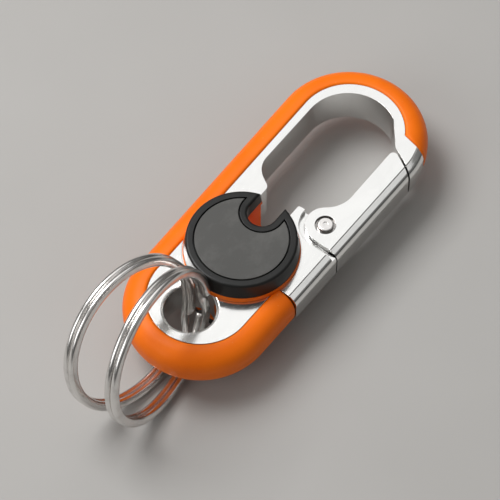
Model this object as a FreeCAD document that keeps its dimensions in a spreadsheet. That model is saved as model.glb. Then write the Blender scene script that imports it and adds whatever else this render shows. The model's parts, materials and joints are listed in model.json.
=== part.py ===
import FreeCAD, Part
import math
import os
import re

import PartDesign
import Sketcher

# Carabiner keyring, in millimetres and degrees.
# +X runs from the cap towards the hook's nose, +Y towards the spine, +Z up.
# The origin is the centre of the rear cap's flat face, which the keyring lies on.
# Every body but the split rings is drawn about the plate's middle plane.

SIZES = {
    # outline of the plate: two circles joined by their outer tangents
    "nose_x": (37.0, "centre of the nose circle"),
    "nose_r": (16.3, "outer radius at the nose"),
    "tail_x": (13.6, "centre of the tail circle, behind the origin"),
    "tail_r": (15.8, "outer radius at the tail"),
    "plate_t": (9.0, "thickness of the metal plate"),
    "facet_w": (1.75, "width of the sloping facet on the bare edge"),
    "facet_d": (1.25, "depth of that facet"),
    "side_round": (2.3, "rounding under the facet"),
    "line_w": (0.22, "width of the scored line beside the facet"),
    "line_d": (0.22, "depth of the scored line"),
    # hook opening and neck
    "hook_x": (36.2, "centre of the hook's end arc"),
    "hook_y": (0.25, "that centre, below the long axis"),
    "hook_r": (9.9, "radius of the hook's end arc"),
    "heel_x": (21.0, "where the spine edge starts to curve in"),
    "heel_r": (5.0, "radius of that curve"),
    "tooth_r": (1.3, "rounding of the opener tooth"),
    "neck_top": (5.0, "upper side of the neck"),
    "neck_low": (2.7, "lower side of the neck, below the axis"),
    "lip_x": (15.65, "end of the lower lip"),
    "lip_r": (0.45, "rounding of the lower lip"),
    "nose_lip_deg": (33.0, "where the end arc runs out into the nose lip"),
    # gate and its pivot
    "pivot_x": (15.24, "pivot along the axis"),
    "pivot_y": (9.8, "pivot below the axis"),
    "gate_y": (10.0, "inner edge of the gate, below the axis"),
    "split_x": (39.25, "inner end of the split between nose and gate"),
    "split_deg": (61.3, "slope of that split"),
    "split_gap": (0.45, "clearance of that split"),
    "tip_r": (1.0, "rounding of the gate's inner tip"),
    "sweep_r": (6.7, "hollow curve from the gate to its knuckle"),
    "knuckle_r": (4.2, "radius of the knuckle"),
    "lug_r": (4.0, "radius of the frame's lug inside the gate"),
    "slot_gap": (0.12, "clearance round the lug"),
    "cheek_gap": (0.08, "clearance beside the lug"),
    "ledge_r": (5.5, "radius of the recess the knuckle turns in"),
    "ledge_d": (1.3, "depth of that recess"),
    "end_gap": (0.3, "clearance behind the gate's tail"),
    # rivet and spring
    "rivet_r": (1.45, "rivet shank"),
    "rivet_gap": (0.05, "running clearance on the shank"),
    "head_r": (1.7, "rivet head"),
    "head_h": (0.35, "rivet head above the gate"),
    "sink_r": (2.2, "sunk seat round the head"),
    "sink_d": (0.5, "depth of that seat"),
    "wire_r": (0.3, "spring wire radius"),
    "coil_r": (2.35, "spring coil, to the wire's centre"),
    "coil_turns": (3.0, "turns of the spring"),
    "coil_pitch": (0.68, "pitch of the spring"),
    "coil_room": (0.25, "room round the coil"),
    "leg_frame": (5.2, "spring leg held in the frame"),
    "leg_gate": (7.0, "spring leg pressing on the gate"),
    "leg_gap": (0.15, "room beside the spring's legs"),
    # bumper
    "web_t": (0.8, "metal between the bumper and the bore at the tail"),
    "bumper_proud": (0.25, "bumper above the metal's face"),
    "round_share": (0.85, "rounding of the bumper's outer edge, as a share of its width"),
    "soft_share": (0.14, "rounding of its inner and end edges, as a share of its width"),
    "bumper_tail_end": (2.6, "bumper's end on the gate side, behind the origin"),
    "bumper_nose_deg": (60.0, "bumper's end at the nose, round the nose circle"),
    "bumper_nose_cut": (12.0, "slope of that end"),
    "lip_share": (0.445, "outer edge of the lip that holds the bumper, as a share of its width"),
    "lip_t": (3.0, "thickness of that lip"),
    "lip_gap": (0.05, "clearance round the lip"),
    # core and cap
    "bore_r": (10.05, "bore for the core"),
    "ear_x": (8.6, "where the bore widens at the neck"),
    "ear_deep": (1.55, "how much wider the bore is at the neck"),
    "core_gap": (0.05, "clearance of the core in its bore"),
    "boss_over": (2.0, "core flange on the metal's face, beyond the bore"),
    "boss_h": (1.05, "height of that flange"),
    "boss_draft": (5.0, "draft of the flange"),
    "cap_in": (0.2, "foot of the cap, inside the flange"),
    "cap_h": (3.75, "height of the cap"),
    "cap_draft": (7.9, "draft of the cap"),
    "cap_soft": (0.55, "rounding of the cap's rim"),
    "rim_w": (1.5, "rim round the inlay, also round the notch"),
    "inlay_t": (1.0, "thickness of the inlay"),
    "inlay_gap": (0.3, "groove round the inlay"),
    "notch_x": (7.4, "centre of the notch's round end"),
    "notch_y": (0.45, "centre line of the notch"),
    "notch_r": (3.05, "half width of the notch"),
    # screws that draw the two cores together
    "screw_ring": (7.2, "distance of the screws from the axis"),
    "screw_r": (1.0, "screw shank"),
    "screw_head_r": (1.9, "screw head"),
    "screw_head_h": (1.1, "height of the screw head"),
    "screw_gap": (0.1, "clearance round shank and head"),
    "screw_end": (1.6, "core left under the screw's point"),
    # eye and split rings
    "eye_wall": (1.65, "metal between the eye and the bore"),
    "eye_r": (5.3, "radius of the eye"),
    "eye_round": (0.7, "rounding of the eye's rims"),
    "ring_r": (17.1, "outer radius of the split rings"),
    "coil_w": (2.05, "split ring's wire, across"),
    "coil_t": (1.35, "split ring's wire, along the ring's axis"),
    "coil_soft": (0.45, "rounding of the split ring's wire"),
    "split_w": (1.3, "gap at the wire's end"),
    "ring_floor": (0.05, "rings above the ground"),
    "seat_a_x": (0.86, "first ring's place in the eye, from its centre towards the cap"),
    "seat_a_y": (0.01, "its near face, from the long axis towards the spine"),
    "lean_a": (14.9, "first ring's lean"),
    "turn_a": (5.5, "first ring's turn from the long axis"),
    "end_a": (1.0, "first ring's wire end, below the height of its centre"),
    "seat_b_x": (1.88, "second ring's place in the eye, from its centre towards the cap"),
    "seat_b_y": (0.3, "its near face, from the long axis towards the gate"),
    "lean_b": (8.1, "second ring's lean"),
    "turn_b": (-5.1, "second ring's turn from the long axis"),
    "end_b": (0.3, "second ring's wire end, below the height of its centre"),
}
FAR = 30.0        # reach of the cuts that run out past the outline
SCREW_DEGREES = (90.0, 180.0, 270.0)
EAR_R = "(bore_r + ear_deep)"
BOSS_R = "(bore_r + boss_over)"
CAP_R = f"({BOSS_R} - cap_in)"
CAP_TOP_R = f"({CAP_R} - cap_h * tan(cap_draft))"
BUMPER_W = "(tail_r - bore_r - web_t)"
LIP_IN = f"({BUMPER_W} * lip_share)"
EYE_X = "(bore_r + eye_wall + eye_r)"

ALIAS = re.compile(r"\b(" + "|".join(SIZES) + r")\b")
TILT = "((nose_r - tail_r) / (nose_x + tail_x))"
SQUARE = f"sqrt(1 - {TILT}^2)"
HALF = "(plate_t / 2)"
SPRING_SLOT = "(coil_turns * coil_pitch + 2 * wire_r + coil_room)"

document = FreeCAD.newDocument("CarabinerKeyring")
sheet = document.addObject("Spreadsheet::Sheet", "Sizes")
parts = []


def fill_sheet():
    for row, (alias, (size, note)) in enumerate(SIZES.items(), start=1):
        sheet.set(f"A{row}", note)
        sheet.set(f"B{row}", str(size))
        sheet.setAlias(f"B{row}", alias)
    document.recompute()


def bound(text):
    """The expression, with every alias read from the sheet."""
    return ALIAS.sub(lambda found: "Sizes." + found.group(0), text)


def value(text):
    """What an expression is worth now."""
    result = sheet.evalExpression(bound(text))
    return float(getattr(result, "Value", result))


def edge_y(inset, along):
    """Half width of the outline, set in by inset, at a place on its straight sides."""
    return f"((tail_r - ({inset}) + {TILT} * (({along}) + tail_x)) / {SQUARE})"


# ---------------------------------------------------------------- sketches

def new_sketch(body, name, level="0", plane="XY_Plane"):
    sketch = body.newObject("Sketcher::SketchObject", name)
    for datum in body.Origin.OriginFeatures:
        if datum.Role == plane:
            sketch.AttachmentSupport = [(datum, "")]
    sketch.MapMode = "FlatFace"
    sketch.setExpression("AttachmentOffset.Base.z", bound(level))
    return sketch


def constrain(sketch, rules):
    """Adds constraints; a rule that ends in a text is bound to that expression."""
    for rule in rules:
        if isinstance(rule[-1], str):
            size = value(rule[-1])
            index = sketch.addConstraint(Sketcher.Constraint(*rule[:-1], size))
            sketch.setExpression(f"Constraints[{index}]", bound(rule[-1]))
        else:
            sketch.addConstraint(Sketcher.Constraint(*rule))


def place(geometry, point, x, y):
    """Rules that put one point of one edge at x, y."""
    across = ("PointOnObject", geometry, point, -2) if x == "0" else ("DistanceX", -1, 1, geometry, point, x)
    along = ("PointOnObject", geometry, point, -1) if y == "0" else ("DistanceY", -1, 1, geometry, point, y)
    return [across, along]


def circle(sketch, x, y, radius):
    centre = FreeCAD.Vector(value(x), value(y), 0)
    index = sketch.addGeometry(Part.Circle(centre, FreeCAD.Vector(0, 0, 1), value(radius)))
    constrain(sketch, place(index, 3, x, y) + [("Radius", index, radius)])


def arc_between(start, end, radius, turn):
    """The lesser arc from start to end, turning left (1) or right (-1)."""
    chord = end - start
    rise = math.sqrt(max(radius * radius - chord.Length ** 2 / 4, 0.0))
    left = FreeCAD.Vector(-chord.y, chord.x, 0).normalize()
    centre = (start + end) * 0.5 + left * (rise * turn)
    first, last = (start, end) if turn > 0 else (end, start)
    angles = [math.atan2(point.y - centre.y, point.x - centre.x) for point in (first, last)]
    return Part.ArcOfCircle(Part.Circle(centre, FreeCAD.Vector(0, 0, 1), radius), *angles)


def loop(sketch, *corners):
    """A closed outline. A corner is (x, y), or (x, y, radius, turn) when an arc leaves it."""
    places = [FreeCAD.Vector(value(corner[0]), value(corner[1]), 0) for corner in corners]
    ends = []
    rules = []
    for number, corner in enumerate(corners):
        start = places[number]
        end = places[(number + 1) % len(corners)]
        if len(corner) == 2:
            index = sketch.addGeometry(Part.LineSegment(start, end))
            ends.append((index, 1, 2))
        else:
            index = sketch.addGeometry(arc_between(start, end, value(corner[2]), corner[3]))
            ends.append((index, 1, 2) if corner[3] > 0 else (index, 2, 1))
            rules.append(("Radius", index, corner[2]))
    for number, corner in enumerate(corners):
        index, first, _ = ends[number]
        before, _, last = ends[number - 1]
        rules.append(("Coincident", before, last, index, first))
        rules.extend(place(index, first, corner[0], corner[1]))
    constrain(sketch, rules)


def box_loop(sketch, low_x, low_y, high_x, high_y):
    loop(sketch, (low_x, low_y), (high_x, low_y), (high_x, high_y), (low_x, high_y))


def outline(sketch, inset="0"):
    """The plate's outline: nose arc, tail arc and the two lines tangent to both."""
    tilt = value(TILT)
    square = value(SQUARE)
    arcs = []
    ends = []
    for along, radius, side in (("nose_x", "nose_r", 1), ("-tail_x", "tail_r", -1)):
        centre = FreeCAD.Vector(value(along), 0, 0)
        size = value(f"{radius} - ({inset})")
        upper = centre + FreeCAD.Vector(-tilt, square, 0) * size
        lower = centre + FreeCAD.Vector(-tilt, -square, 0) * size
        round_end = Part.Circle(centre, FreeCAD.Vector(0, 0, 1), size)
        first, last = (lower, upper) if side > 0 else (upper, lower)
        angles = [math.atan2(point.y, point.x - centre.x) for point in (first, last)]
        arcs.append(sketch.addGeometry(Part.ArcOfCircle(round_end, *angles)))
        ends.append((upper, lower))
    top = sketch.addGeometry(Part.LineSegment(ends[0][0], ends[1][0]))
    bottom = sketch.addGeometry(Part.LineSegment(ends[1][1], ends[0][1]))
    nose, tail = arcs
    constrain(sketch, [
        *place(nose, 3, "nose_x", "0"), ("Radius", nose, f"nose_r - ({inset})"),
        *place(tail, 3, "-tail_x", "0"), ("Radius", tail, f"tail_r - ({inset})"),
        ("Tangent", nose, 2, top, 1), ("Tangent", top, 2, tail, 1),
        ("Tangent", tail, 2, bottom, 1), ("Tangent", bottom, 2, nose, 1),
    ])


def inside_bumper(sketch, inset):
    """What the bumper leaves free: inside its C, and the open gate side out past the outline."""
    nose = f"(nose_r - ({inset}))"
    tail = f"(tail_r - ({inset}))"
    inner = f"(nose_r - {BUMPER_W})"
    end_x = f"(nose_x + {inner} * cos(bumper_nose_deg))"
    end_y = f"({inner} * sin(bumper_nose_deg))"
    # the sloping end face, carried out from the bumper's inner edge to this inset
    slope = f"({inner} * sin(bumper_nose_deg - bumper_nose_cut))"
    reach = f"(sqrt({slope}^2 + {nose}^2 - {inner}^2) - {slope})"
    start_x = f"({end_x} - {reach} * sin(bumper_nose_cut))"
    start_y = f"({end_y} + {reach} * cos(bumper_nose_cut))"
    loop(
        sketch,
        (start_x, f"-{start_y}", nose, 1),
        (f"nose_x + {nose}", "0", nose, 1),
        (f"nose_x - {nose} * {TILT}", f"{nose} * {SQUARE}"),
        (f"-tail_x - {tail} * {TILT}", f"{tail} * {SQUARE}", tail, 1),
        (f"-tail_x - {tail}", "0", tail, 1),
        (f"-tail_x - {tail} * {TILT}", f"-{tail} * {SQUARE}"),
        ("-bumper_tail_end", f"-{edge_y(inset, '-bumper_tail_end')}"),
        ("-bumper_tail_end", f"-{FAR}"),
        (f"{end_x} - ({FAR} - {end_y}) * tan(bumper_nose_cut)", f"-{FAR}"),
    )


def frame_round(sketch):
    box_loop(sketch, f"-tail_x - {FAR}", f"-{FAR} - 10", f"nose_x + {FAR}", f"{FAR} + 10")


def notch(sketch, grow="0"):
    """A slot with a round end, open towards the neck."""
    half = f"(notch_r + ({grow}))"
    loop(
        sketch,
        (f"{FAR}", f"notch_y + {half}"),
        ("notch_x", f"notch_y + {half}", half, 1),
        (f"notch_x - {half}", "notch_y", half, 1),
        ("notch_x", f"notch_y - {half}"),
        (f"{FAR}", f"notch_y - {half}"),
    )


def notched_disc(sketch, radius, grow):
    """A disc less the notch, with the notch wider by grow."""
    half = f"(notch_r + ({grow}))"
    high = f"(notch_y + {half})"
    low = f"(notch_y - {half})"
    loop(
        sketch,
        (f"sqrt(({radius})^2 - {high}^2)", high, radius, 1),
        ("0", radius, radius, 1),
        (f"-({radius})", "0", radius, 1),
        ("0", f"-({radius})", radius, 1),
        (f"sqrt(({radius})^2 - {low}^2)", low),
        ("notch_x", low, half, -1),
        (f"notch_x - {half}", "notch_y", half, -1),
        ("notch_x", high),
    )


# ---------------------------------------------------------------- features

def new_body(label, lift=True):
    body = document.addObject("PartDesign::Body", label)
    body.Label = label
    if lift:
        body.setExpression("Placement.Base.z", bound(f"cap_h + boss_h + {HALF}"))
    parts.append(body)
    return body


def extrude(body, kind, sketch, length, side=0, taper=None):
    """Pad or pocket of a sketch: up (side 1), down (-1) or to both sides of it (0)."""
    before = body.Shape.Volume if body.Shape.Solids else 0.0
    feature = body.newObject(f"PartDesign::{kind}", f"{kind}_{sketch.Label}")
    feature.Profile = sketch
    feature.SideType = "One side" if side else "Symmetric"
    feature.setExpression("Length", bound(length))
    feature.Reversed = (side < 0) == (kind == "Pad") and side != 0
    if taper:
        feature.setExpression("TaperAngle", bound(taper))
    sketch.Visibility = False
    document.recompute()
    change = body.Shape.Volume - before
    if (change <= 0) if kind == "Pad" else (change >= 0):
        raise RuntimeError(f"{body.Label}: {feature.Label} changes nothing")
    return feature


def pad(body, sketch, length, side=0, taper=None):
    return extrude(body, "Pad", sketch, length, side, taper)


def pocket(body, sketch, length, side=0, taper=None):
    return extrude(body, "Pocket", sketch, length, side, taper)


def soften(body, size, chosen, kind="Fillet"):
    """Fillets the edges that the test picks out of the body."""
    base = body.Tip
    names = [f"Edge{number}" for number, edge in enumerate(base.Shape.Edges, start=1) if chosen(edge)]
    if not names:
        raise RuntimeError(f"{body.Label}: no edge to soften")
    feature = body.newObject(f"PartDesign::{kind}", kind)
    feature.Base = (base, names)
    feature.setExpression("Radius" if kind == "Fillet" else "Size", bound(size))
    document.recompute()
    return feature


def level(edge, height):
    """True if the whole edge lies at one height."""
    return abs(edge.BoundBox.ZMin - height) < 1e-4 and abs(edge.BoundBox.ZMax - height) < 1e-4


def bare_plate(body):
    """The plate with the facet and rounding of its bare edge, and the scored line beside them."""
    sketch = new_sketch(body, "outline")
    outline(sketch)
    pad(body, sketch, "plate_t")
    half = value(HALF)
    chamfer = soften(body, "facet_w", lambda edge: level(edge, half) or level(edge, -half), "Chamfer")
    chamfer.ChamferType = "Two distances"
    chamfer.setExpression("Size2", bound("facet_d"))
    document.recompute()
    rim = half - value("facet_d")
    if not any(level(edge, rim) for edge in chamfer.Shape.Edges):
        chamfer.FlipDirection = True
        document.recompute()
    soften(body, "side_round", lambda edge: level(edge, rim) or level(edge, -rim))
    for side in (1, -1):
        sketch = new_sketch(body, "line", f"{side} * {HALF}")
        outline(sketch, "facet_w")
        outline(sketch, "facet_w + line_w")
        pocket(body, sketch, "line_d", -side)


# ---------------------------------------------------------------- the pieces

def build_frame():
    body = new_body("frame")
    bare_plate(body)

    sketch = new_sketch(body, "hook")
    heel_x = "(heel_x - heel_r * cos(30))"
    heel_y = "(hook_r - hook_y - heel_r * (1 - sin(30)))"
    tooth_y = "(neck_top + tooth_r * sin(30))"
    tooth_x = f"({heel_x} - ({heel_y} - {tooth_y}) * tan(30))"
    lug_deg = "82"
    frame_end = "(pivot_x - knuckle_r - end_gap)"
    loop(
        sketch,
        ("hook_x", "hook_r - hook_y"),
        ("heel_x", "hook_r - hook_y", "heel_r", 1),
        (heel_x, heel_y),
        (tooth_x, tooth_y, "tooth_r", -1),
        (f"{tooth_x} - tooth_r * cos(30)", "neck_top"),
        ("bore_r - 2", "neck_top"),
        ("bore_r - 2", "-neck_low"),
        ("lip_x - lip_r", "-neck_low", "lip_r", -1),
        ("lip_x", "-neck_low - lip_r"),
        (f"pivot_x + lug_r * cos({lug_deg})", f"lug_r * sin({lug_deg}) - pivot_y", "lug_r", -1),
        ("pivot_x + lug_r", "-pivot_y", "lug_r", -1),
        ("pivot_x", "-pivot_y - lug_r"),
        (frame_end, "-pivot_y - lug_r"),
        (frame_end, f"-{FAR}"),
        (f"split_x - ({FAR} - gate_y) / tan(split_deg)", f"-{FAR}"),
        ("split_x", "-gate_y"),
        ("hook_x + hook_r * cos(nose_lip_deg)", "-hook_y - hook_r * sin(nose_lip_deg)", "hook_r", 1),
        ("hook_x + hook_r", "-hook_y", "hook_r", 1),
    )
    pocket(body, sketch, "2 * plate_t")

    sketch = new_sketch(body, "bore")
    circle(sketch, "0", "0", "bore_r")
    pocket(body, sketch, "2 * plate_t")
    sketch = new_sketch(body, "ear")
    ear_y = f"sqrt({EAR_R}^2 - ear_x^2)"
    loop(sketch, ("ear_x", f"-{ear_y}", EAR_R, 1), ("ear_x", ear_y))
    pocket(body, sketch, "2 * plate_t")

    sketch = new_sketch(body, "eye")
    circle(sketch, f"-{EYE_X}", "0", "eye_r")
    pocket(body, sketch, "2 * plate_t")
    eye = FreeCAD.Vector(-value(EYE_X), 0, 0)
    soften(body, "eye_round", lambda edge: edge.Curve.TypeId == "Part::GeomCircle"
           and abs(edge.Curve.Radius - value("eye_r")) < 1e-4
           and math.hypot(edge.Curve.Center.x - eye.x, edge.Curve.Center.y) < 1e-4)

    for side in (1, -1):
        sketch = new_sketch(body, "rebate", f"{side} * {HALF}")
        frame_round(sketch)
        inside_bumper(sketch, BUMPER_W)
        pocket(body, sketch, "(plate_t - lip_t) / 2", -side)
        sketch = new_sketch(body, "ledge", f"{side} * {HALF}")
        loop(
            sketch,
            ("pivot_x - ledge_r", f"-{FAR}"),
            ("pivot_x - ledge_r", "-pivot_y", "ledge_r", -1),
            ("pivot_x", "ledge_r - pivot_y"),
            ("split_x - 6", "ledge_r - pivot_y"),
            ("split_x - 12", f"-{FAR}"),
        )
        pocket(body, sketch, "ledge_d", -side)
    sketch = new_sketch(body, "bumper_lip")
    frame_round(sketch)
    inside_bumper(sketch, LIP_IN)
    pocket(body, sketch, "2 * plate_t")

    sketch = new_sketch(body, "rivet_seat")
    circle(sketch, "pivot_x", "-pivot_y", "rivet_r + rivet_gap / 2")
    pocket(body, sketch, "2 * plate_t")
    sketch = new_sketch(body, "spring_room")
    room = "(coil_r + wire_r + coil_room)"
    loop(
        sketch,
        ("pivot_x + lug_r + 2", f"{room} - pivot_y"),
        ("pivot_x", f"{room} - pivot_y", room, 1),
        (f"pivot_x - {room}", "-pivot_y", room, 1),
        ("pivot_x", f"-{room} - pivot_y"),
        ("pivot_x + lug_r + 2", f"-{room} - pivot_y"),
    )
    pocket(body, sketch, SPRING_SLOT)
    sketch = new_sketch(body, "leg_channel")
    box_loop(sketch, "pivot_x - leg_frame - 2 * wire_r", "-pivot_y - coil_r - wire_r - leg_gap",
             "pivot_x", "-pivot_y - coil_r + wire_r + leg_gap")
    pocket(body, sketch, SPRING_SLOT)
    return body


def build_gate():
    body = new_body("gate")
    bare_plate(body)

    sketch = new_sketch(body, "gate_plan")
    frame_round(sketch)
    tip_x = "(split_x - split_gap / sin(split_deg))"
    tip_back = "(tip_r * tan((180 - split_deg) / 2))"
    hollow_y = "(sweep_r - gate_y)"
    hollow_x = f"(pivot_x + sqrt((knuckle_r + sweep_r)^2 - ({hollow_y} + pivot_y)^2))"
    share = "(knuckle_r / (knuckle_r + sweep_r))"
    loop(
        sketch,
        ("pivot_x - knuckle_r", f"-{FAR}"),
        (f"{tip_x} - ({FAR} - gate_y) / tan(split_deg)", f"-{FAR}"),
        (f"{tip_x} - {tip_back} * cos(split_deg)", f"-gate_y - {tip_back} * sin(split_deg)", "tip_r", 1),
        (f"{tip_x} - {tip_back}", "-gate_y"),
        (hollow_x, "-gate_y", "sweep_r", -1),
        (f"pivot_x + {share} * ({hollow_x} - pivot_x)",
         f"-pivot_y + {share} * ({hollow_y} + pivot_y)", "knuckle_r", 1),
        ("pivot_x", "knuckle_r - pivot_y", "knuckle_r", 1),
        ("pivot_x - knuckle_r", "-pivot_y"),
    )
    pocket(body, sketch, "2 * plate_t")

    sketch = new_sketch(body, "lug_slot")
    slot = "(lug_r + slot_gap)"
    loop(
        sketch,
        ("pivot_x - knuckle_r - 4", f"-pivot_y - {slot}"),
        ("pivot_x", f"-pivot_y - {slot}", slot, 1),
        (f"pivot_x + {slot} * cos(10)", f"{slot} * sin(10) - pivot_y"),
        (f"pivot_x + {slot} * cos(10)", "0"),
        ("pivot_x - knuckle_r - 4", "0"),
    )
    pocket(body, sketch, "plate_t - 2 * ledge_d + 2 * cheek_gap")

    sketch = new_sketch(body, "rivet_hole")
    circle(sketch, "pivot_x", "-pivot_y", "rivet_r + rivet_gap")
    pocket(body, sketch, "2 * plate_t")
    for side in (1, -1):
        sketch = new_sketch(body, "rivet_sink", f"{side} * {HALF}")
        circle(sketch, "pivot_x", "-pivot_y", "sink_r")
        pocket(body, sketch, "sink_d", -side)

    # the spring's leg reaches into a small pocket beyond the lug
    sketch = new_sketch(body, "leg_pocket")
    box_loop(sketch, "pivot_x + 2", "-pivot_y - coil_r - wire_r - leg_gap",
             "pivot_x + leg_gate + 2 * wire_r", "-pivot_y - coil_r + wire_r + leg_gap")
    pocket(body, sketch, SPRING_SLOT)
    return body


def build_bumper(label, side):
    """Half of the bumper: the front half above the middle plane, or the rear half below it."""
    body = new_body(label)
    sketch = new_sketch(body, "bumper_outline")
    outline(sketch)
    pad(body, sketch, f"{HALF} + bumper_proud", side)
    top = side * (value(HALF) + value("bumper_proud"))
    soften(body, f"{BUMPER_W} * round_share", lambda edge: level(edge, top))
    sketch = new_sketch(body, "bumper_inside")
    inside_bumper(sketch, BUMPER_W)
    pocket(body, sketch, "4 * plate_t")
    sketch = new_sketch(body, "lip_groove")
    outline(sketch, f"{LIP_IN} - lip_gap")
    pocket(body, sketch, "lip_t / 2 + lip_gap", side)
    soften(body, f"{BUMPER_W} * soft_share", lambda edge: level(edge, top))
    sketch = new_sketch(body, "boss_clearance", f"{side} * {HALF}")
    circle(sketch, "0", "0", f"{BOSS_R} + core_gap")
    pocket(body, sketch, "plate_t", side)
    return body


def screw_places():
    return [(f"screw_ring * cos({angle})", f"screw_ring * sin({angle})") for angle in SCREW_DEGREES]


def build_core(label, side):
    """Half of the core: a plug in the bore under a flange on the metal's face."""
    body = new_body(label)
    sketch = new_sketch(body, "plug")
    circle(sketch, "0", "0", "bore_r - core_gap")
    pad(body, sketch, HALF, side)
    sketch = new_sketch(body, "plug_ear")
    reach = f"({EAR_R} - core_gap)"
    ear_x = "(ear_x + core_gap)"
    ear_y = f"sqrt({reach}^2 - {ear_x}^2)"
    root_y = f"(sqrt((bore_r - core_gap)^2 - {ear_x}^2) - core_gap)"
    loop(
        sketch,
        (ear_x, f"-{ear_y}", reach, 1),
        (ear_x, ear_y),
        (ear_x, root_y),
        ("ear_x / 2", root_y),
        ("ear_x / 2", f"-{root_y}"),
        (ear_x, f"-{root_y}"),
    )
    pad(body, sketch, HALF, side)
    sketch = new_sketch(body, "flange", f"{side} * {HALF}")
    circle(sketch, "0", "0", BOSS_R)
    pad(body, sketch, "boss_h", side, "-boss_draft")
    sketch = new_sketch(body, "core_notch")
    notch(sketch)
    pocket(body, sketch, "4 * plate_t")

    top = f"({HALF} + boss_h)"
    for number, (x, y) in enumerate(screw_places()):
        sketch = new_sketch(body, f"screw_hole_{number}", "0")
        circle(sketch, x, y, "screw_r + screw_gap")
        if side > 0:
            pocket(body, sketch, f"2 * {top}")
            sketch = new_sketch(body, f"head_seat_{number}", top)
            circle(sketch, x, y, "screw_head_r + screw_gap")
            pocket(body, sketch, "screw_head_h + screw_gap", -1)
        else:
            pocket(body, sketch, f"{top} - screw_end", -1)
    return body


def build_cap(label, side):
    """A disc with a notch, recessed for its inlay."""
    body = new_body(label)
    foot = f"({HALF} + boss_h)"
    top = f"({foot} + cap_h)"
    sketch = new_sketch(body, "cap_foot", f"{side} * {foot}")
    circle(sketch, "0", "0", CAP_R)
    pad(body, sketch, "cap_h", side, "-cap_draft")
    sketch = new_sketch(body, "cap_notch")
    notch(sketch)
    pocket(body, sketch, "6 * plate_t")
    face = side * value(top)
    soften(body, "cap_soft", lambda edge: level(edge, face))
    sketch = new_sketch(body, "inlay_seat", f"{side} * {top}")
    notched_disc(sketch, CAP_TOP_R + " - rim_w", "rim_w")
    pocket(body, sketch, "inlay_t", -side)
    return body


def build_inlay(label, side):
    """A thin plate that lies in the cap's recess, with a groove left round it."""
    body = new_body(label)
    top = f"({HALF} + boss_h + cap_h)"
    sketch = new_sketch(body, "inlay_face", f"{side} * {top}")
    notched_disc(sketch, CAP_TOP_R + " - rim_w - inlay_gap", "rim_w + inlay_gap")
    pad(body, sketch, "inlay_t", -side)
    return body


def build_rivet():
    """A shank with a shallow head at each face of the gate."""
    body = new_body("pivot_rivet")
    sketch = new_sketch(body, "shank")
    circle(sketch, "pivot_x", "-pivot_y", "rivet_r")
    pad(body, sketch, "plate_t - 2 * sink_d + 4 * rivet_gap")
    for side in (1, -1):
        sketch = new_sketch(body, "rivet_head", f"{side} * ({HALF} - sink_d + rivet_gap)")
        circle(sketch, "pivot_x", "-pivot_y", "head_r")
        pad(body, sketch, "sink_d - rivet_gap + head_h", side)
        face = side * value(f"{HALF} + head_h")
        soften(body, "head_h", lambda edge: level(edge, face))
        sketch = new_sketch(body, "rivet_dimple", f"{side} * ({HALF} + head_h)")
        circle(sketch, "pivot_x", "-pivot_y", "head_r / 3")
        pocket(body, sketch, "head_h / 2", -side)
    return body


def build_screws():
    """Three screws, each a head in the front core and a shank that ends in the rear core."""
    body = new_body("clamp_screws")
    body.AllowCompound = True
    under_head = f"({HALF} + boss_h - screw_head_h - screw_gap)"
    shank = f"({under_head} + {HALF} + boss_h - screw_end - screw_gap)"
    stages = (("shanks", "screw_r", shank, -1), ("heads", "screw_head_r", "screw_head_h", 1))
    for name, radius, length, side in stages:
        sketch = new_sketch(body, name, under_head)
        for x, y in screw_places():
            circle(sketch, x, y, radius)
        pad(body, sketch, length, side)
    face = value(f"{under_head} + screw_head_h")
    sketch = new_sketch(body, "drive", f"{under_head} + screw_head_h")
    for x, y in screw_places():
        circle(sketch, x, y, "screw_r * 0.8")
    pocket(body, sketch, "screw_head_h / 2", -1)
    return body


def build_spring():
    """A torsion spring round the rivet: one leg in the frame, the other in the gate."""
    radius = value("coil_r")
    wire = value("wire_r")
    rise = value("coil_turns * coil_pitch")
    coil = Part.makeHelix(value("coil_pitch"), rise, radius)
    coil.rotate(FreeCAD.Vector(), FreeCAD.Vector(0, 0, 1), -90)
    low = FreeCAD.Vector(0, -radius, 0)
    high = FreeCAD.Vector(0, -radius, rise)
    path = Part.Wire([
        Part.makeLine(low - FreeCAD.Vector(value("leg_frame"), 0, 0), low),
        *coil.Edges,
        Part.makeLine(high, high + FreeCAD.Vector(value("leg_gate"), 0, 0)),
    ])
    start = low - FreeCAD.Vector(value("leg_frame"), 0, 0)
    section = Part.Wire([Part.makeCircle(wire, start, FreeCAD.Vector(1, 0, 0))])
    solid = path.makePipeShell([section], True, True)
    spring = document.addObject("Part::Feature", "gate_spring")
    spring.Shape = solid
    spring.Placement.Base = FreeCAD.Vector(
        value("pivot_x"), value("-pivot_y"), value(f"cap_h + boss_h + {HALF}") - rise / 2)
    parts.append(spring)
    return spring


def ring_axes(lean, turn):
    """A ring's own directions: along it in the level, down in its plane, and its axis."""
    lean = math.radians(value(lean))
    turn = math.radians(value(turn))
    along = FreeCAD.Vector(math.cos(turn), -math.sin(turn), 0)
    axis = FreeCAD.Vector(math.sin(turn) * math.cos(lean), math.cos(turn) * math.cos(lean), -math.sin(lean))
    return along, axis.cross(along), axis


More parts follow.
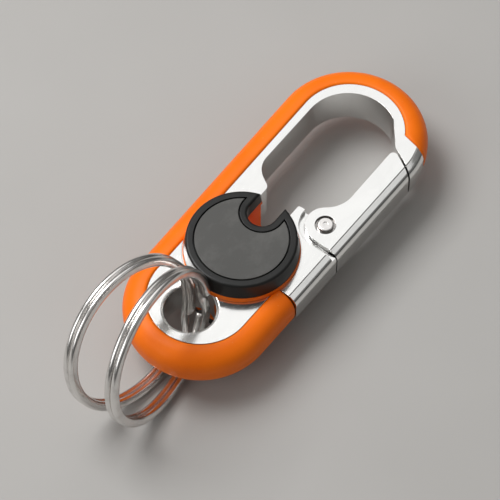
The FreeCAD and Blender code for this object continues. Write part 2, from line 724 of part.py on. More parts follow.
def build_ring(label, letter, aside):
    """A split ring: two turns of flat wire side by side, through the eye and down to the ground."""
    body = new_body(label, lift=False)
    sketch = new_sketch(body, "wire_section", "0", "XZ_Plane")
    outer = "ring_r"
    inner = "(ring_r - coil_w)"
    soft = "coil_soft"
    loop(
        sketch,
        (f"{inner} + {soft}", "-coil_t"),
        (f"{outer} - {soft}", "-coil_t", soft, 1),
        (outer, f"{soft} - coil_t"),
        (outer, f"-{soft}", soft, 1),
        (f"{outer} - {soft}", "0", soft, 1),
        (outer, soft),
        (outer, f"coil_t - {soft}", soft, 1),
        (f"{outer} - {soft}", "coil_t"),
        (f"{inner} + {soft}", "coil_t", soft, 1),
        (inner, f"coil_t - {soft}"),
        (inner, soft, soft, 1),
        (f"{inner} + {soft}", "0", soft, 1),
        (inner, f"-{soft}"),
        (inner, f"{soft} - coil_t", soft, 1),
    )
    turned = body.newObject("PartDesign::Revolution", "turned")
    turned.Profile = sketch
    turned.ReferenceAxis = (sketch, ["V_Axis"])
    turned.Angle = 360
    document.recompute()
    for side, offset in ((1, f"end_{letter}"), (-1, f"end_{letter} + 2 * split_w")):
        gap = new_sketch(body, "wire_end")
        box_loop(gap, f"{inner} - 3", offset, "ring_r + 1", f"{offset} + split_w")
        pocket(body, gap, "2 * coil_t", -side if side < 0 else 1)

    along, down, axis = ring_axes(f"lean_{letter}", f"turn_{letter}")
    lean_angle = math.radians(value(f"lean_{letter}"))
    mid_r = value("ring_r - coil_w / 2")
    lowest = value("ring_r") * math.cos(lean_angle) + value("coil_t") * math.sin(lean_angle)
    mid_z = value(f"cap_h + boss_h + {HALF}")
    drop = (lowest + value("ring_floor") - mid_z) / math.cos(lean_angle)
    spread = math.sqrt(mid_r ** 2 - drop ** 2)
    seat = FreeCAD.Vector(value(f"seat_{letter}_x - {EYE_X}"), aside * value(f"coil_t + seat_{letter}_y"), mid_z)
    centre = seat - along * spread - down * drop
    turned_to = FreeCAD.Matrix(along.x, down.x, axis.x, centre.x, along.y, down.y, axis.y, centre.y,
                               along.z, down.z, axis.z, centre.z, 0, 0, 0, 1)
    body.Placement = FreeCAD.Placement(turned_to)
    print(label, "turns in the eye at", [round(c, 4) for c in seat], "about", [round(c, 6) for c in axis],
          "centre", [round(c, 3) for c in centre])
    return body


def check_document():
    """Every object built, and every piece one good shape."""
    for item in document.Objects:
        if "Invalid" in item.State or "Error" in item.State:
            raise RuntimeError(f"{item.Label} did not build: {item.State}")
    for part in parts:
        if part.Shape.isNull() or not part.Shape.isValid() or not part.Shape.Solids:
            raise RuntimeError(f"{part.Label} is not a good solid")


def main():
    fill_sheet()
    build_frame()
    build_gate()
    build_rivet()
    build_spring()
    for end, side in (("front", 1), ("rear", -1)):
        build_bumper(f"bumper_{end}", side)
        build_core(f"core_{end}", side)
        build_cap(f"cap_{end}", side)
        build_inlay(f"inlay_{end}", side)
    build_screws()
    build_ring("split_ring_a", "a", 1)
    build_ring("split_ring_b", "b", -1)
    document.recompute()
    check_document()
    os.makedirs("parts", exist_ok=True)
    for part in parts:
        part.Shape.exportStep(f"parts/{part.Label}.step")
        print(part.Label, len(part.Shape.Solids), "solid", round(part.Shape.Volume, 1), "mm3")


main()
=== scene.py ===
"""Looks of a pocket carabiner keyring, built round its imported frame.

The cast, moulded and pressed pieces are copies of the frame's nodes: their shape is unchanged, and
their edges are softened only in shading. The split rings and the gate's spring are coiled anew from
wire. Lengths are in metres, in the frame's own axes: +X to the hook's nose, +Y to the closed spine,
+Z out of the front face.
"""
import json
import math

import bmesh
import bpy
from mathutils import Matrix, Vector


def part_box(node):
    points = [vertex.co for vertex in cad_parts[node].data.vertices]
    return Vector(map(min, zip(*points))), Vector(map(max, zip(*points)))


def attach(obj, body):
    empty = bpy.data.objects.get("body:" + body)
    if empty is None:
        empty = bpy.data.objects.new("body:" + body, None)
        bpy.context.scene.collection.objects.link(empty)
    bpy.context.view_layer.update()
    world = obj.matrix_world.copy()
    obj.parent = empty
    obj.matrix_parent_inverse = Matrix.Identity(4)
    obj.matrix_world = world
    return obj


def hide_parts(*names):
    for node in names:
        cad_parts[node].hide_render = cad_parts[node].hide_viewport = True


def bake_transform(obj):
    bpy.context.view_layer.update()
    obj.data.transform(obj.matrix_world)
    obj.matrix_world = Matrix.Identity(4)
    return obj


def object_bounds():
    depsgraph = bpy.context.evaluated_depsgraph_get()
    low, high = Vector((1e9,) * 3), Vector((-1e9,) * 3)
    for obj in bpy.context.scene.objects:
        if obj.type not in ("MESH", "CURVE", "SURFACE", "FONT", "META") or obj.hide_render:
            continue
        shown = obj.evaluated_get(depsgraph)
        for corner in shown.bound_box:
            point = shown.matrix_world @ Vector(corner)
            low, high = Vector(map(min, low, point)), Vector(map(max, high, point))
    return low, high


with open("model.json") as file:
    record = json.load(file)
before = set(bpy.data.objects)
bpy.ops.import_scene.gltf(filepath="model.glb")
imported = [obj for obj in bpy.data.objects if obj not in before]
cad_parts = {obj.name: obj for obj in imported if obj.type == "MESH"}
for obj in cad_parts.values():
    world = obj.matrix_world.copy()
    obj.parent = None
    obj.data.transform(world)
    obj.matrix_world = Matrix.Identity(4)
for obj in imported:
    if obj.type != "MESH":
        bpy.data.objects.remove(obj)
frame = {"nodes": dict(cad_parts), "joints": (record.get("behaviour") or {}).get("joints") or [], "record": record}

bl_info = {
    "name": "Carabiner Keyring",
    "version": (1, 0, 0),
    "blender": (4, 5, 0),
    "location": "View3D > Sidebar > Keyring",
    "description": "Finishes the pieces of a carabiner keyring and sets its stage",
    "category": "Object",
}

MM = 0.001
CAD_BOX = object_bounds()
NODES = frame["nodes"]
JOINTS = {joint["name"]: joint for joint in frame["joints"]}
MOUNTS = {mount["name"]: mount for mount in frame["record"]["mounts"]}
BODIES = frame["record"]["behaviour"]["bodies"]
SLOTS = {part["node"]: part["material_slot"] for part in frame["record"]["subparts"]}

WELD = 1e-6                      # corners this near are one corner
CORNER = math.radians(26)        # an edge that turns more than this is shaded as a corner
EDGE_GLINT = 0.22 * MM           # how far a glint reaches over a moulded edge
METAL_GLINT = 0.07 * MM          # and over an edge of the plated metal
SEAM_SHADE_REACH = 0.9 * MM            # how far the painted shade reaches out of a seam
EDGE_SAMPLES = 6                 # rays of the shaded edge rounding
SEAM_SHADE_SAMPLES = 8                 # rays that look for a seam, for its painted shade
MIX_FIRST, MIX_SECOND, MIX_RESULT = 6, 7, 2    # the colour sockets of a Mix node, by number

SECTION_STEPS = 5                # facets over each rounded corner of the ring wire
TURN_GAP = 0.03 * MM             # air between a split ring's two turns
RING_SQUEEZE = 0.05 * MM         # how far a turn runs inside its circle, opposite the wire's start
RING_TAPER = 0.2                 # share by which a ring wire's end outline is drawn in
RING_ENDS = {"a": math.radians(46), "b": math.radians(24)}    # where each wire begins, round its ring

SPRING_TURNS = 3
SPRING_TURN_STEPS = 40           # stations in one turn
SPRING_LEG_STEPS = 8             # stations along one leg
SPRING_SIDES = 12                # facets round the spring's wire
SPRING_TAPER = 0.15

FLOOR_HALF = 4.0                 # half the floor's width
FLOOR_DARK = (0.40, 0.39, 0.375, 1.0)
FLOOR_PALE = (0.44, 0.43, 0.415, 1.0)
ROOM_LOW = (0.05, (0.05, 0.049, 0.047, 1.0))     # height and colour of the light near the horizon
ROOM_HIGH = (0.75, (0.30, 0.295, 0.29, 1.0))     # and overhead
CAMERA_AIM = Vector((3.3 * MM, 0.4 * MM, 9.3 * MM))
SENSOR_WIDTH = 36.0              # in millimetres, like the lens
CAMERA_NEAR = 0.01

# each softbox: azimuth and elevation in degrees, distance and size in metres, brightness
LIGHTS = {
    "front_card": (38, 58, 0.80, 0.66, 0.74),
    "key_light": (98, 58, 0.75, 0.40, 9.0),
    "ring_card": (158, 30, 0.75, 0.46, 2.1),
    "side_card": (-62, 37, 0.75, 0.30, 0.5),
}


def body_of(node):
    """The moving body that a frame node belongs to."""
    for body, members in BODIES.items():
        if node in members:
            return body
    raise KeyError(node)


# ---------------------------------------------------------------- materials

class Wire:
    """A shader socket that can stand in a sum: each operation adds one Math node."""

    def __init__(self, finish, socket):
        self.finish = finish
        self.socket = socket

    def maths(self, operation, first, second):
        return self.finish.node("ShaderNodeMath", {"operation": operation}, {0: first, 1: second})

    def __add__(self, other):
        return self.maths("ADD", self, other)

    def __radd__(self, other):
        return self.maths("ADD", other, self)

    def __sub__(self, other):
        return self.maths("SUBTRACT", self, other)

    def __rsub__(self, other):
        return self.maths("SUBTRACT", other, self)

    def __mul__(self, other):
        return self.maths("MULTIPLY", self, other)

    def __rmul__(self, other):
        return self.maths("MULTIPLY", other, self)


class Finish:
    """One material and its nodes."""

    def __init__(self, name):
        self.material = bpy.data.materials.new(name)
        self.material.use_nodes = True
        self.tree = self.material.node_tree
        self.shader = self.tree.nodes["Principled BSDF"]

    def node(self, kind, settings=None, sockets=None, output=0):
        """Adds a node, sets it up, then fills its sockets with values or links."""
        made = self.tree.nodes.new(kind)
        for name, setting in (settings or {}).items():
            if name == "stops":
                self.set_stops(made.color_ramp, setting)
            else:
                setattr(made, name, setting)
        for name, value in (sockets or {}).items():
            self.fill(made.inputs[name], value)
        return Wire(self, made.outputs[output])

    def fill(self, socket, value):
        if isinstance(value, Wire):
            self.tree.links.new(value.socket, socket)
        else:
            socket.default_value = value

    def set_stops(self, ramp, stops):
        while len(ramp.elements) < len(stops):
            ramp.elements.new(1.0)
        for element, (place, shade) in zip(ramp.elements, stops):
            element.position = place
            element.color = (shade, shade, shade, 1.0)

    def set(self, **values):
        """Sets the shader's own sockets: base_color stands for Base Color, and so on."""
        for name, value in values.items():
            self.fill(self.shader.inputs[SHADER_SOCKETS[name]], value)

    def place(self, stretch=(1.0, 1.0, 1.0), turn=0.0, kind="Object"):
        """Surface coordinates, stretched and turned about Z."""
        seat = self.node("ShaderNodeTexCoord", output=kind)
        return self.node("ShaderNodeMapping", sockets={
            "Vector": seat, "Scale": stretch, "Rotation": (0.0, 0.0, turn)})

    def noise(self, place, scale, detail=2.0, roughness=0.5, distortion=0.0):
        return self.node("ShaderNodeTexNoise", sockets={
            "Vector": place, "Scale": scale, "Detail": detail,
            "Roughness": roughness, "Distortion": distortion})

    def cells(self, place, scale):
        return self.node("ShaderNodeTexVoronoi", {"feature": "F1"}, {
            "Vector": place, "Scale": scale}, "Distance")

    def ramp(self, factor, *stops):
        """Grey levels along the factor; each stop is a place and a level."""
        return self.node("ShaderNodeValToRGB", {"stops": stops}, {"Fac": factor})

    def mix(self, factor, first, second):
        """Mixes two colours."""
        return self.node("ShaderNodeMix", {"data_type": "RGBA"}, {
            "Factor": factor, MIX_FIRST: first, MIX_SECOND: second}, MIX_RESULT)

    def soft_edges(self, radius):
        """The surface's normal, rounded over the last sharp edges."""
        return self.node("ShaderNodeBevel", {"samples": EDGE_SAMPLES}, {"Radius": radius})

    def seam_shade(self, reach):
        """Painted shade: 0 in a seam or a corner, 1 on open surface; the reach is how deep the dark goes."""
        return self.node("ShaderNodeAmbientOcclusion", {"samples": SEAM_SHADE_SAMPLES},
                         {"Distance": reach}, "AO")

    def bump(self, height, strength, distance, below):
        return self.node("ShaderNodeBump", sockets={
            "Height": height, "Strength": strength, "Distance": distance, "Normal": below})


SHADER_SOCKETS = {
    "base_color": "Base Color", "metallic": "Metallic", "roughness": "Roughness", "normal": "Normal",
    "specular": "Specular IOR Level", "coat": "Coat Weight", "coat_roughness": "Coat Roughness",
}


def hairlines(finish, length, width, turns):
    """Fine scratches: stretched noise along several directions, kept only where it peaks."""
    stretch = (1.0 / length, 1.0 / width, 1.0 / width)
    total = 0.0
    for turn in turns:
        streaks = finish.noise(finish.place(stretch, turn), 1.0, detail=1.0)
        total = finish.ramp(streaks, (0.66, 0.0), (0.74, 1.0)) + total
    return total


def polished_metal(colours):
    """Bright plated casting: hairline scratches, faint smears, a slightly wavy face, and painted shade darkening
    its seams and corners.
    """
    finish = Finish("polished_metal")
    smear = finish.noise(finish.place((1.0, 1.6, 1.0), 0.6), 95.0,
                         detail=4.0, roughness=0.62, distortion=0.8)
    scratch = hairlines(finish, 5.0 * MM, 0.045 * MM, (0.35, 1.2, 2.5))
    specks = finish.ramp(finish.cells(finish.place(), 900.0), (0.04, 1.0), (0.07, 0.0))
    tone = finish.mix(finish.ramp(smear, (0.35, 0.0), (0.75, 1.0)),
                      (*colours.metal, 1.0), (*[0.93 * c for c in colours.metal], 1.0))
    waves = finish.noise(finish.place(), 260.0, detail=2.0)
    wavy = finish.bump(waves, 0.10, 0.04 * MM, finish.soft_edges(METAL_GLINT))
    # painted shade: the metal's colour turns dark brown in seams and corners, where shade and dark reflections
    # fall
    out_of_seam_shade = finish.ramp(finish.seam_shade(SEAM_SHADE_REACH), (0.32, 0.0), (0.74, 1.0))
    kept = finish.mix(out_of_seam_shade, (0.10, 0.085, 0.075, 1.0), tone)
    finish.set(
        base_color=finish.mix(specks * 0.25, kept, (0.45, 0.43, 0.40, 1.0)),
        metallic=1.0,
        roughness=0.09 + 0.09 * finish.ramp(smear, (0.4, 0.0), (0.8, 1.0)) + 0.10 * scratch,
        normal=finish.bump(1.0 - scratch, 0.16, 0.006 * MM, wavy),
    )
    return finish.material


def bright_steel(colours):
    """Drawn and tumbled wire: lines along the wire, small nicks and a warm cast."""
    finish = Finish("bright_steel")
    along = finish.place((5.0, 48.0, 1.0), kind="UV")
    lines = finish.noise(along, 1.0, detail=3.0, roughness=0.6)
    grime = finish.noise(finish.place(), 420.0, detail=4.0, roughness=0.6)
    chips = finish.cells(finish.place((1.0, 1.0, 2.2), 0.4), 700.0)
    nicks = finish.ramp(chips, (0.05, 1.0), (0.09, 0.0))
    tone = finish.mix(finish.ramp(grime, (0.45, 0.0), (0.72, 1.0)),
                      (*colours.steel, 1.0), (*[0.82 * c for c in colours.steel], 1.0))
    finish.set(
        base_color=finish.mix(nicks * 0.4, tone, (0.36, 0.33, 0.30, 1.0)),
        metallic=1.0,
        roughness=0.19 + 0.05 * lines + 0.05 * finish.ramp(grime, (0.45, 0.0), (0.8, 1.0)),
    )
    return finish.material


def orange_plastic(colours):
    """Satin moulded plastic: spark-eroded grain, faint flow clouds, rubbed patches."""
    finish = Finish("orange_plastic")
    clouds = finish.noise(finish.place((1.0, 1.7, 1.0), 0.3), 60.0,
                          detail=3.0, roughness=0.55, distortion=0.6)
    grain = finish.noise(finish.place(), 5200.0, detail=3.0, roughness=0.65)
    pores = finish.ramp(finish.cells(finish.place(), 3600.0), (0.10, 0.0), (0.34, 1.0))
    wear = finish.noise(finish.place(), 150.0, detail=5.0, roughness=0.7)
    rubbed = finish.ramp(wear, (0.52, 0.0), (0.78, 1.0))
    dust = finish.ramp(finish.cells(finish.place(), 650.0), (0.035, 1.0), (0.055, 0.0))
    deeper = [c * share for c, share in zip(colours.orange, (0.90, 0.80, 0.7))]
    tone = finish.mix(finish.ramp(clouds, (0.3, 0.0), (0.75, 1.0)),
                      (*colours.orange, 1.0), (*deeper, 1.0))
    fine = finish.mix(0.10 * grain, tone, (0.40, 0.05, 0.0, 1.0))
    pitted = finish.bump(pores, 0.18, 0.012 * MM, finish.soft_edges(EDGE_GLINT))
    finish.set(
        base_color=finish.mix(dust * 0.35, fine, (0.95, 0.62, 0.38, 1.0)),
        roughness=0.38 + 0.14 * grain - 0.08 * rubbed,
        specular=0.22,
        normal=finish.bump(grain, 0.30, 0.016 * MM, pitted),
        coat=0.06 * rubbed,
        coat_roughness=0.25,
    )
    return finish.material


def black_plastic(name, tone, gloss, grain_scale):
    """Satin black plastic: close grain, greyed rubbed patches and a little dust."""
    finish = Finish(name)
    grain = finish.noise(finish.place(), grain_scale, detail=3.0, roughness=0.7)
    pits = finish.ramp(finish.cells(finish.place(), grain_scale * 0.6), (0.12, 0.0), (0.40, 1.0))
    wear = finish.noise(finish.place((1.0, 1.4, 1.0), 0.9), 140.0, detail=5.0, roughness=0.68)
    rubbed = finish.ramp(wear, (0.46, 0.0), (0.8, 1.0))
    dust = finish.ramp(finish.cells(finish.place(), 800.0), (0.03, 1.0), (0.05, 0.0))
    base = finish.mix(rubbed, (*tone, 1.0), (*[1.5 * c + 0.003 for c in tone], 1.0))
    pitted = finish.bump(pits, 0.20, 0.010 * MM, finish.soft_edges(EDGE_GLINT))
    finish.set(
        base_color=finish.mix(dust * 0.45, base, (0.30, 0.29, 0.27, 1.0)),
        roughness=gloss + 0.14 * grain - 0.06 * rubbed,
        specular=0.3,
        normal=finish.bump(grain, 0.28, 0.012 * MM, pitted),
    )
    return finish.material


made_finishes = {}


def finishes():
    """The finish of each piece, made once."""
    if not made_finishes:
        colours = bpy.context.scene.keyring_colours
        made_finishes.update({
            "polished_metal": polished_metal(colours),
            "steel": bright_steel(colours),
            "orange_plastic": orange_plastic(colours),
            "black_plastic": black_plastic("black_plastic", tuple(colours.black), 0.30, 6500.0),
            "black_inlay": black_plastic("black_inlay", tuple(colours.inlay), 0.40, 8000.0),
        })
    return made_finishes


# ---------------------------------------------------------------- shaping

def stand_in(piece, node, finish=None, twists_to=None):
    """The piece takes the frame node's place and body, and the finish named for it or else the one of the node's
    slot.

    A piece that twists is put on no body: its placing is baked into its mesh.
    """
    piece.data.materials.clear()
    piece.data.materials.append(finishes()[finish or SLOTS[node]])
    if twists_to:
        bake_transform(piece)
    else:
        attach(piece, body_of(node))
    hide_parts(node)


def applied(piece):
    """Bakes the piece's modifiers into its mesh."""
    bpy.context.view_layer.update()
    shaped = piece.evaluated_get(bpy.context.evaluated_depsgraph_get())
    mesh = bpy.data.meshes.new_from_object(shaped)
    piece.modifiers.clear()
    piece.data = mesh


def copied(node, name):
    """A copy of the frame node, welded and smooth-shaded between its corners."""
    mesh = NODES[node].data.copy()
    mesh.name = name
    work = bmesh.new()
    work.from_mesh(mesh)
    bmesh.ops.remove_doubles(work, verts=work.verts, dist=WELD)
    for face in work.faces:
        face.smooth = True
    for edge in work.edges:
        edge.smooth = len(edge.link_faces) == 2 and edge.calc_face_angle() < CORNER
    work.to_mesh(mesh)
    work.free()
    piece = bpy.data.objects.new(name, mesh)
    bpy.context.scene.collection.objects.link(piece)
    weighted = piece.modifiers.new("even", "WEIGHTED_NORMAL")
    weighted.keep_sharp = True
    applied(piece)
    return piece


def section(width, thickness, soft):
    """A flat wire's section, counted round: across and along the coil's axis."""
    steps = SECTION_STEPS
    points = []
    for quarter, (x, y) in enumerate(((1, 1), (-1, 1), (-1, -1), (1, -1))):
        for step in range(steps + 1):
            angle = (quarter + step / steps) * math.pi / 2
            points.append((x * (width / 2 - soft) + soft * math.cos(angle),
                           y * (thickness / 2 - soft) + soft * math.sin(angle)))
    return points


def smooth_step(share):
    share = min(max(share, 0.0), 1.0)
    return share * share * (3 - 2 * share)


def swept(name, stations, outline, taper=0.0):
    """A tube with one outline at each station, closed at its ends, with the length as its U.

    A station is a place and its two directions across the tube. The end outlines are drawn in
    by the taper, so the cut ends are not sharp.
    """
    work = bmesh.new()
    unwrapped = work.loops.layers.uv.new("along")
    rows = []
    travel = [0.0]
    for (before, _, _), (after, _, _) in zip(stations, stations[1:]):
        travel.append(travel[-1] + (after - before).length)
    for number, (place, across, up) in enumerate(stations):
        shrink = 1.0 - (taper if number in (0, len(stations) - 1) else 0.0)
        rows.append([work.verts.new(place + shrink * (x * across + y * up)) for x, y in outline])
    around = len(outline)
    for row, following, here, there in zip(rows, rows[1:], travel, travel[1:]):
        for k in range(around):
            nxt = (k + 1) % around
            face = work.faces.new((row[k], row[nxt], following[nxt], following[k]))
            face.smooth = True
            corners = ((here, k), (here, k + 1), (there, k + 1), (there, k))
            for loop, (along, turn) in zip(face.loops, corners):
                loop[unwrapped].uv = (along / travel[-1], turn / around)
    for row, order in ((rows[0], -1), (rows[-1], 1)):
        cap = work.faces.new(row[::order])
        cap.smooth = False
    bmesh.ops.recalc_face_normals(work, faces=work.faces)
    mesh = bpy.data.meshes.new(name)
    work.to_mesh(mesh)
    work.free()
    piece = bpy.data.objects.new(name, mesh)
    bpy.context.scene.collection.objects.link(piece)
    return piece


def ring_frame(node, mount):
    """A split ring's centre, outer radius and directions, read from its node and its mount."""
    axis = Vector(mount["axis"]).normalized()
    along = Vector((axis.y, -axis.x, 0.0)).normalized()
    down = axis.cross(along)
    low, high = (Vector(corner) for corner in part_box(node))
    centre = (low + high) / 2
    reach = max(((vertex.co - centre) - (vertex.co - centre).dot(axis) * axis).length
                for vertex in NODES[node].data.vertices)
    thick = max(abs((vertex.co - centre).dot(axis)) for vertex in NODES[node].data.vertices)
    return centre, reach, thick, along, down, axis


def split_ring(node, mount, sizes, end_angle):
    """Two turns of flat wire that lie on each other, with a jog where one turn becomes the other."""
    centre, reach, thick, along, down, axis = ring_frame(node, mount)
    width = sizes.ring_wire
    outline = section(width, thick - TURN_GAP, sizes.ring_wire_soft)
    middle = reach - width / 2
    jog = sizes.ring_jog / middle
    end_room = sizes.ring_end_gap / middle
    whole = 4 * math.pi - jog - 2 * end_room
    stations = []
    for step in range(sizes.ring_steps + 1):
        angle = end_room + whole * step / sizes.ring_steps
        lift = thick / 2 - thick * smooth_step((angle - (2 * math.pi - jog)) / jog)
        turn = end_angle + angle
        outward = math.cos(turn) * along + math.sin(turn) * down
        # a ring is not quite round: each turn runs a hair further in opposite the wire's start
        squeeze = RING_SQUEEZE * math.sin(angle / 2) ** 2
        stations.append((centre + (middle - squeeze) * outward + lift * axis, outward, axis))
    piece = swept(f"{node}_coil", stations, outline, RING_TAPER)
    stand_in(piece, node)


def gate_spring_wire(sizes):
    """A torsion spring round the rivet, with one leg in the frame and the other in the gate."""
    low, high = (Vector(corner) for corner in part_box("gate_spring"))
    pivot = Vector(JOINTS["gate_pivot"]["pos_m"])
    wire = sizes.spring_wire / 2
    radius = pivot.y - low.y - wire
    rise = high.z - low.z - 2 * wire
    start_z = low.z + wire
    across, up = Vector((0, 1, 0)), Vector((0, 0, 1))
    stations = []
    for step in range(SPRING_LEG_STEPS):
        x = low.x + (pivot.x - low.x) * step / SPRING_LEG_STEPS
        stations.append((Vector((x, pivot.y - radius, start_z)), across, up))
    steps = SPRING_TURN_STEPS * SPRING_TURNS
    for step in range(steps + 1):
        angle = -math.pi / 2 + 2 * math.pi * SPRING_TURNS * step / steps
        outward = Vector((math.cos(angle), math.sin(angle), 0))
        place = Vector((pivot.x, pivot.y, start_z + rise * step / steps)) + radius * outward
        stations.append((place, -outward, up))
    for step in range(1, SPRING_LEG_STEPS + 1):
        x = pivot.x + (high.x - pivot.x) * step / SPRING_LEG_STEPS
        stations.append((Vector((x, pivot.y - radius, high.z - wire)), across, up))
    corners = [math.tau * k / SPRING_SIDES for k in range(SPRING_SIDES)]
    outline = [(wire * math.cos(corner), wire * math.sin(corner)) for corner in corners]
    piece = swept("gate_spring_wire", stations, outline, SPRING_TAPER)
    stand_in(piece, "gate_spring", twists_to="gate")


# ---------------------------------------------------------------- properties

class KeyringColours(bpy.types.PropertyGroup):
    """Base colours of the finishes."""

    metal: bpy.props.FloatVectorProperty(
        name="Plating", description="Colour of the bright plated metal", subtype="COLOR",
        default=(0.90, 0.90, 0.885))
    steel: bpy.props.FloatVectorProperty(
        name="Steel", description="Colour of the rings, rivet and spring", subtype="COLOR",
        default=(0.82, 0.80, 0.78))
    orange: bpy.props.FloatVectorProperty(
        name="Orange", description="Colour of the bumper and core", subtype="COLOR",
        default=(1.0, 0.195, 0.003))
    black: bpy.props.FloatVectorProperty(
        name="Black", description="Colour of the caps", subtype="COLOR",
        default=(0.0085, 0.0087, 0.0082))
    inlay: bpy.props.FloatVectorProperty(
        name="Inlay", description="Colour of the inlays", subtype="COLOR",
        default=(0.075, 0.074, 0.070))


class KeyringSizes(bpy.types.PropertyGroup):
    """Wire sizes and the camera's measures."""

    ring_wire: bpy.props.FloatProperty(
        name="Ring wire", description="Width of a split ring's wire", default=2.05 * MM, unit="LENGTH")
    ring_wire_soft: bpy.props.FloatProperty(
        name="Ring wire rounding", description="Rounding of that wire's edges",
        default=0.6 * MM, unit="LENGTH")
    ring_jog: bpy.props.FloatProperty(
        name="Ring jog", description="Length over which one turn becomes the other",
        default=4.4 * MM, unit="LENGTH")
    ring_end_gap: bpy.props.FloatProperty(
        name="Ring end gap", description="Gap between a wire end and the jog",
        default=0.5 * MM, unit="LENGTH")
    ring_steps: bpy.props.IntProperty(
        name="Ring steps", description="Stations along a split ring's wire", default=420, min=16)
    spring_wire: bpy.props.FloatProperty(
        name="Spring wire", description="Diameter of the gate spring's wire",
        default=0.6 * MM, unit="LENGTH")
    camera_distance: bpy.props.FloatProperty(
        name="Camera distance", description="From the camera to the object",
        default=0.6136, unit="LENGTH")
    camera_azimuth: bpy.props.FloatProperty(
        name="Camera azimuth", description="Where the camera stands round Z, from +X",
        default=math.radians(217.5), subtype="ANGLE")
    camera_height: bpy.props.FloatProperty(
        name="Camera height", description="How far the camera looks down",
        default=math.radians(58.98), subtype="ANGLE")
    camera_lens: bpy.props.FloatProperty(
        name="Lens", description="Focal length in millimetres", default=216.2)


# ---------------------------------------------------------------- operators

def dress(nodes, ending):
    """Puts a finished copy in the place of each node, named after it."""
    for node in nodes:
        stand_in(copied(node, f"{node}_{ending}"), node)


class KEYRING_OT_metal(bpy.types.Operator):
    """Finishes the frame and the gate."""

    bl_idname = "keyring.metal"
    bl_label = "Frame and gate"

    def execute(self, context):
        dress(("frame", "gate"), "metal")
        return {"FINISHED"}


class KEYRING_OT_bumper(bpy.types.Operator):
    """Finishes the two halves of the bumper."""

    bl_idname = "keyring.bumper"
    bl_label = "Bumper"

    def execute(self, context):
        dress(("bumper_front", "bumper_rear"), "shell")
        return {"FINISHED"}


class KEYRING_OT_core(bpy.types.Operator):
    """Finishes the two halves of the round core."""

    bl_idname = "keyring.core"
    bl_label = "Core"

    def execute(self, context):
        dress(("core_front", "core_rear"), "boss")
        return {"FINISHED"}


class KEYRING_OT_caps(bpy.types.Operator):
    """Finishes the caps and the inlays in them."""

    bl_idname = "keyring.caps"
    bl_label = "Caps and inlays"

    def execute(self, context):
        for side in ("front", "rear"):
            dress((f"cap_{side}",), "disc")
            stand_in(copied(f"inlay_{side}", f"inlay_{side}_disc"), f"inlay_{side}", "black_inlay")
        return {"FINISHED"}


class KEYRING_OT_fasteners(bpy.types.Operator):
    """Finishes the pivot's rivet, the clamp screws and the gate's spring."""

    bl_idname = "keyring.fasteners"
    bl_label = "Rivet, screws and spring"

    def execute(self, context):
        dress(("pivot_rivet",), "pin")
        dress(("clamp_screws",), "set")
        gate_spring_wire(context.scene.keyring_sizes)
        return {"FINISHED"}


class KEYRING_OT_rings(bpy.types.Operator):
    """Coils the two split rings."""

    bl_idname = "keyring.rings"
    bl_label = "Split rings"

    def execute(self, context):
        sizes = context.scene.keyring_sizes
        for letter, end_angle in RING_ENDS.items():
            split_ring(f"split_ring_{letter}", MOUNTS[f"key_ring_{letter}"], sizes, end_angle)
        return {"FINISHED"}


class KEYRING_OT_stage(bpy.types.Operator):
    """Sets the floor, the lights and the camera."""

    bl_idname = "keyring.stage"
    bl_label = "Stage"

    def execute(self, context):
        low, high = (Vector(corner) for corner in CAD_BOX)
        centre = (low + high) / 2
        lay_floor(low.z)
        for name, measures in LIGHTS.items():
            hang_light(name, centre, *measures)
        light_room(context.scene)
        set_camera(context.scene, context.scene.keyring_sizes)
        return {"FINISHED"}


def lay_floor(height):
    """A wide pale floor with a faint mottle."""
    work = bmesh.new()
    corners = ((-1, -1), (1, -1), (1, 1), (-1, 1))
    work.faces.new([work.verts.new((x * FLOOR_HALF, y * FLOOR_HALF, height)) for x, y in corners])
    mesh = bpy.data.meshes.new("floor")
    work.to_mesh(mesh)
    work.free()
    floor = bpy.data.objects.new("floor", mesh)
    bpy.context.scene.collection.objects.link(floor)
    finish = Finish("pale_floor")
    mottle = finish.noise(finish.place(), 22.0, detail=3.0)
    finish.set(base_color=finish.mix(mottle, FLOOR_DARK, FLOOR_PALE), roughness=0.75, specular=0.2)
    floor.data.materials.append(finish.material)


def hang_light(name, aim, azimuth, elevation, distance, size, brightness):
    """A square softbox that faces the object; azimuth and elevation are in degrees."""
    lamp = bpy.data.lights.new(name, "AREA")
    lamp.shape = "SQUARE"
    lamp.size = size
    lamp.energy = brightness * math.pi * size ** 2
    light = bpy.data.objects.new(name, lamp)
    swing = Matrix.Rotation(math.radians(azimuth), 3, "Z")
    raised = Matrix.Rotation(-math.radians(elevation), 3, "Y")
    place = swing @ raised @ Vector((distance, 0, 0))
    light.location = aim + place
    light.rotation_euler = (-place).to_track_quat("-Z", "Y").to_euler()
    bpy.context.scene.collection.objects.link(light)


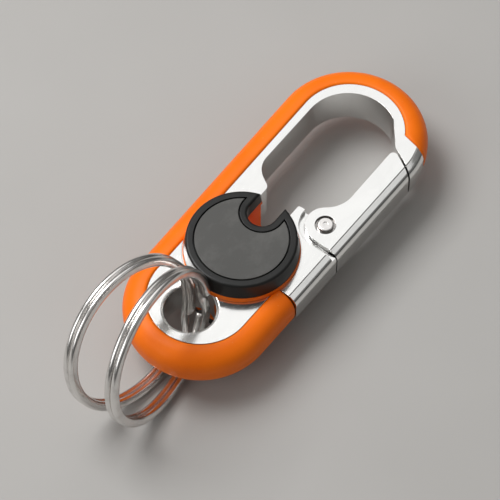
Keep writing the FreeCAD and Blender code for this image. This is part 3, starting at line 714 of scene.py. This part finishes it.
def light_room(scene):
    """Light from all round, dim near the horizon and brighter overhead, shown without a film curve."""
    world = bpy.data.worlds.new("room")
    world.use_nodes = True
    nodes, links = world.node_tree.nodes, world.node_tree.links
    ramp = nodes.new("ShaderNodeValToRGB")
    for element, (place, colour) in zip(ramp.color_ramp.elements, (ROOM_LOW, ROOM_HIGH)):
        element.position = place
        element.color = colour
    height = nodes.new("ShaderNodeSeparateXYZ")
    links.new(nodes.new("ShaderNodeTexCoord").outputs["Generated"], height.inputs[0])
    links.new(height.outputs["Z"], ramp.inputs["Fac"])
    links.new(ramp.outputs["Color"], nodes["Background"].inputs["Color"])
    scene.world = world
    scene.view_settings.view_transform = "Standard"


def set_camera(scene, sizes):
    """A long lens that looks down along the object from its tail."""
    flat = math.cos(sizes.camera_height)
    azimuth = sizes.camera_azimuth
    away = Vector((flat * math.cos(azimuth), flat * math.sin(azimuth), math.sin(sizes.camera_height)))
    lens = bpy.data.cameras.new("camera")
    lens.lens = sizes.camera_lens
    lens.sensor_width = SENSOR_WIDTH
    lens.clip_start = CAMERA_NEAR
    camera = bpy.data.objects.new("camera", lens)
    camera.location = CAMERA_AIM + sizes.camera_distance * away
    camera.rotation_euler = (-away).to_track_quat("-Z", "Y").to_euler()
    scene.collection.objects.link(camera)
    scene.camera = camera


# ---------------------------------------------------------------- panel

STEPS = (KEYRING_OT_metal, KEYRING_OT_bumper, KEYRING_OT_core, KEYRING_OT_caps,
         KEYRING_OT_fasteners, KEYRING_OT_rings, KEYRING_OT_stage)


class KEYRING_PT_build(bpy.types.Panel):
    """The keyring's building steps, in order."""

    bl_idname = "KEYRING_PT_build"
    bl_label = "Keyring"
    bl_space_type = "VIEW_3D"
    bl_region_type = "UI"
    bl_category = "Keyring"

    def draw(self, context):
        for step in STEPS:
            self.layout.operator(step.bl_idname)


CLASSES = (KeyringColours, KeyringSizes, *STEPS, KEYRING_PT_build)


def register():
    for made in CLASSES:
        bpy.utils.register_class(made)
    bpy.types.Scene.keyring_colours = bpy.props.PointerProperty(type=KeyringColours)
    bpy.types.Scene.keyring_sizes = bpy.props.PointerProperty(type=KeyringSizes)


def unregister():
    del bpy.types.Scene.keyring_sizes
    del bpy.types.Scene.keyring_colours
    for made in reversed(CLASSES):
        bpy.utils.unregister_class(made)


def main():
    register()
    bpy.ops.keyring.metal()
    bpy.ops.keyring.bumper()
    bpy.ops.keyring.core()
    bpy.ops.keyring.caps()
    bpy.ops.keyring.fasteners()
    bpy.ops.keyring.rings()
    bpy.ops.keyring.stage()


if __name__ == "__main__":
    main()
